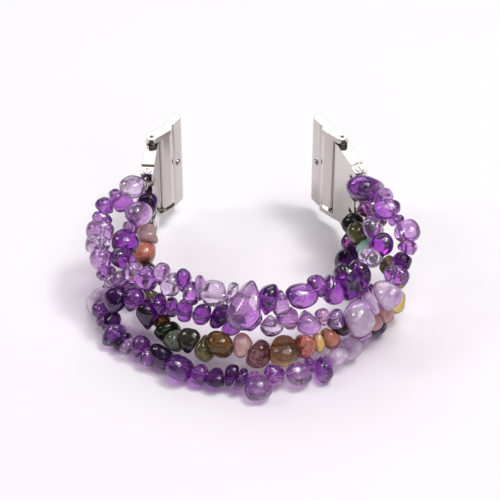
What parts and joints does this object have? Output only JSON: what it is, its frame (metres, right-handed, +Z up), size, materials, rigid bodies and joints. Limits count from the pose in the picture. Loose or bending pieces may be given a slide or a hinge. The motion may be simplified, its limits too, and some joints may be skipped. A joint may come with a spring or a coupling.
{
  "type": "crystal watch band",
  "caption": "Watch band of drilled violet and mixed stone chips on elastic cords, hooked to steel end blocks with hinged slide-in lug adapters.",
  "frame": {"origin": "centre of the bounding box on the floor that the band stands on, with its width upright", "axes": "+Z up, across the band's width; +Y from the front of the loop towards the watch lugs; +X to the right, from one lug adapter to the other"},
  "size_m": [0.0841, 0.0732, 0.0333],
  "materials": {
    "polished_steel": "mirror polished stainless steel",
    "spring_steel": "drawn spring wire",
    "amethyst": "tumbled and polished translucent crystal",
    "mixed_stone": "tumbled and polished stones in many colours",
    "elastic_cord": "smooth clear elastic"
  },
  "bodies": {
    "front": {"inner_stones_front": "amethyst", "inner_cord_front": "elastic_cord", "outer_stones_front": "amethyst", "outer_cord_front": "elastic_cord", "mixed_stones_front": "mixed_stone", "mixed_cord_front": "elastic_cord", "lower_stones_front": "amethyst", "lower_cord_front": "elastic_cord"},
    "left_side": {"inner_stones_left": "amethyst", "inner_cord_left": "elastic_cord", "outer_stones_left": "amethyst", "outer_cord_left": "elastic_cord", "mixed_stones_left": "mixed_stone", "mixed_cord_left": "elastic_cord", "lower_stones_left": "amethyst", "lower_cord_left": "elastic_cord", "left_crimps": "polished_steel"},
    "left_block": {"left_end_block": "polished_steel", "left_cord_rod": "polished_steel"},
    "left_adapter": {"left_lug_adapter": "polished_steel", "left_bar_tube": "polished_steel", "left_bar_spring": "spring_steel", "left_latch_spring": "spring_steel"},
    "left_bar_tip": {"left_bar_tip": "polished_steel"},
    "left_latch": {"left_latch_plunger": "polished_steel"},
    "right_side": {"inner_stones_right": "amethyst", "inner_cord_right": "elastic_cord", "outer_stones_right": "amethyst", "outer_cord_right": "elastic_cord", "mixed_stones_right": "mixed_stone", "mixed_cord_right": "elastic_cord", "lower_stones_right": "amethyst", "lower_cord_right": "elastic_cord", "right_crimps": "polished_steel"},
    "right_block": {"right_end_block": "polished_steel", "right_cord_rod": "polished_steel"},
    "right_adapter": {"right_lug_adapter": "polished_steel", "right_bar_tube": "polished_steel", "right_bar_spring": "spring_steel", "right_latch_spring": "spring_steel"},
    "right_bar_tip": {"right_bar_tip": "polished_steel"},
    "right_latch": {"right_latch_plunger": "polished_steel"}
  },
  "joints": [
    {"name": "left_flex", "type": "hinge", "parent": "front", "child": "left_side", "pos_m": [-0.04385, -0.0114, 0.015], "axis": [0, 0, 1], "range_deg": [0, 35], "stiffness_Nm_per_rad": 0.02, "springref_deg": -57.3},
    {"name": "left_loop_swing", "type": "hinge", "parent": "left_side", "child": "left_block", "pos_m": [-0.02593, 0.01593, 0.019], "axis": [0, 0, 1], "range_deg": [-15, 15]},
    {"name": "left_lug_hinge", "type": "hinge", "parent": "left_block", "child": "left_adapter", "pos_m": [-0.02515, 0.0271, 0.019], "axis": [0, 0, 1], "range_deg": [-45, 85]},
    {"name": "left_bar_tip_slide", "type": "slide", "parent": "left_adapter", "child": "left_bar_tip", "axis": [0, 0, -1], "range_m": [0, 0.0016], "stiffness_N_per_m": 800, "springref_m": -0.001, "deforming": ["left_bar_spring"]},
    {"name": "left_latch_press", "type": "slide", "parent": "left_adapter", "child": "left_latch", "axis": [-0.8572, 0.515, 0], "range_m": [0, 0.0005], "stiffness_N_per_m": 1500, "springref_m": -0.0005},
    {"name": "right_flex", "type": "hinge", "parent": "front", "child": "right_side", "pos_m": [0.04035, -0.0143, 0.015], "axis": [0, 0, 1], "range_deg": [-35, 0], "stiffness_Nm_per_rad": 0.02, "springref_deg": 57.3},
    {"name": "right_loop_swing", "type": "hinge", "parent": "right_side", "child": "right_block", "pos_m": [0.02746, 0.01664, 0.019], "axis": [0, 0, 1], "range_deg": [-15, 15]},
    {"name": "right_lug_hinge", "type": "hinge", "parent": "right_block", "child": "right_adapter", "pos_m": [0.02345, 0.0271, 0.019], "axis": [0, 0, 1], "range_deg": [-85, 60]},
    {"name": "right_bar_tip_slide", "type": "slide", "parent": "right_adapter", "child": "right_bar_tip", "axis": [0, 0, -1], "range_m": [0, 0.0016], "stiffness_N_per_m": 800, "springref_m": -0.001, "deforming": ["right_bar_spring"]},
    {"name": "right_latch_press", "type": "slide", "parent": "right_adapter", "child": "right_latch", "axis": [0.8572, 0.515, 0], "range_m": [0, 0.0005], "stiffness_N_per_m": 1500, "springref_m": -0.0005}
  ]
}
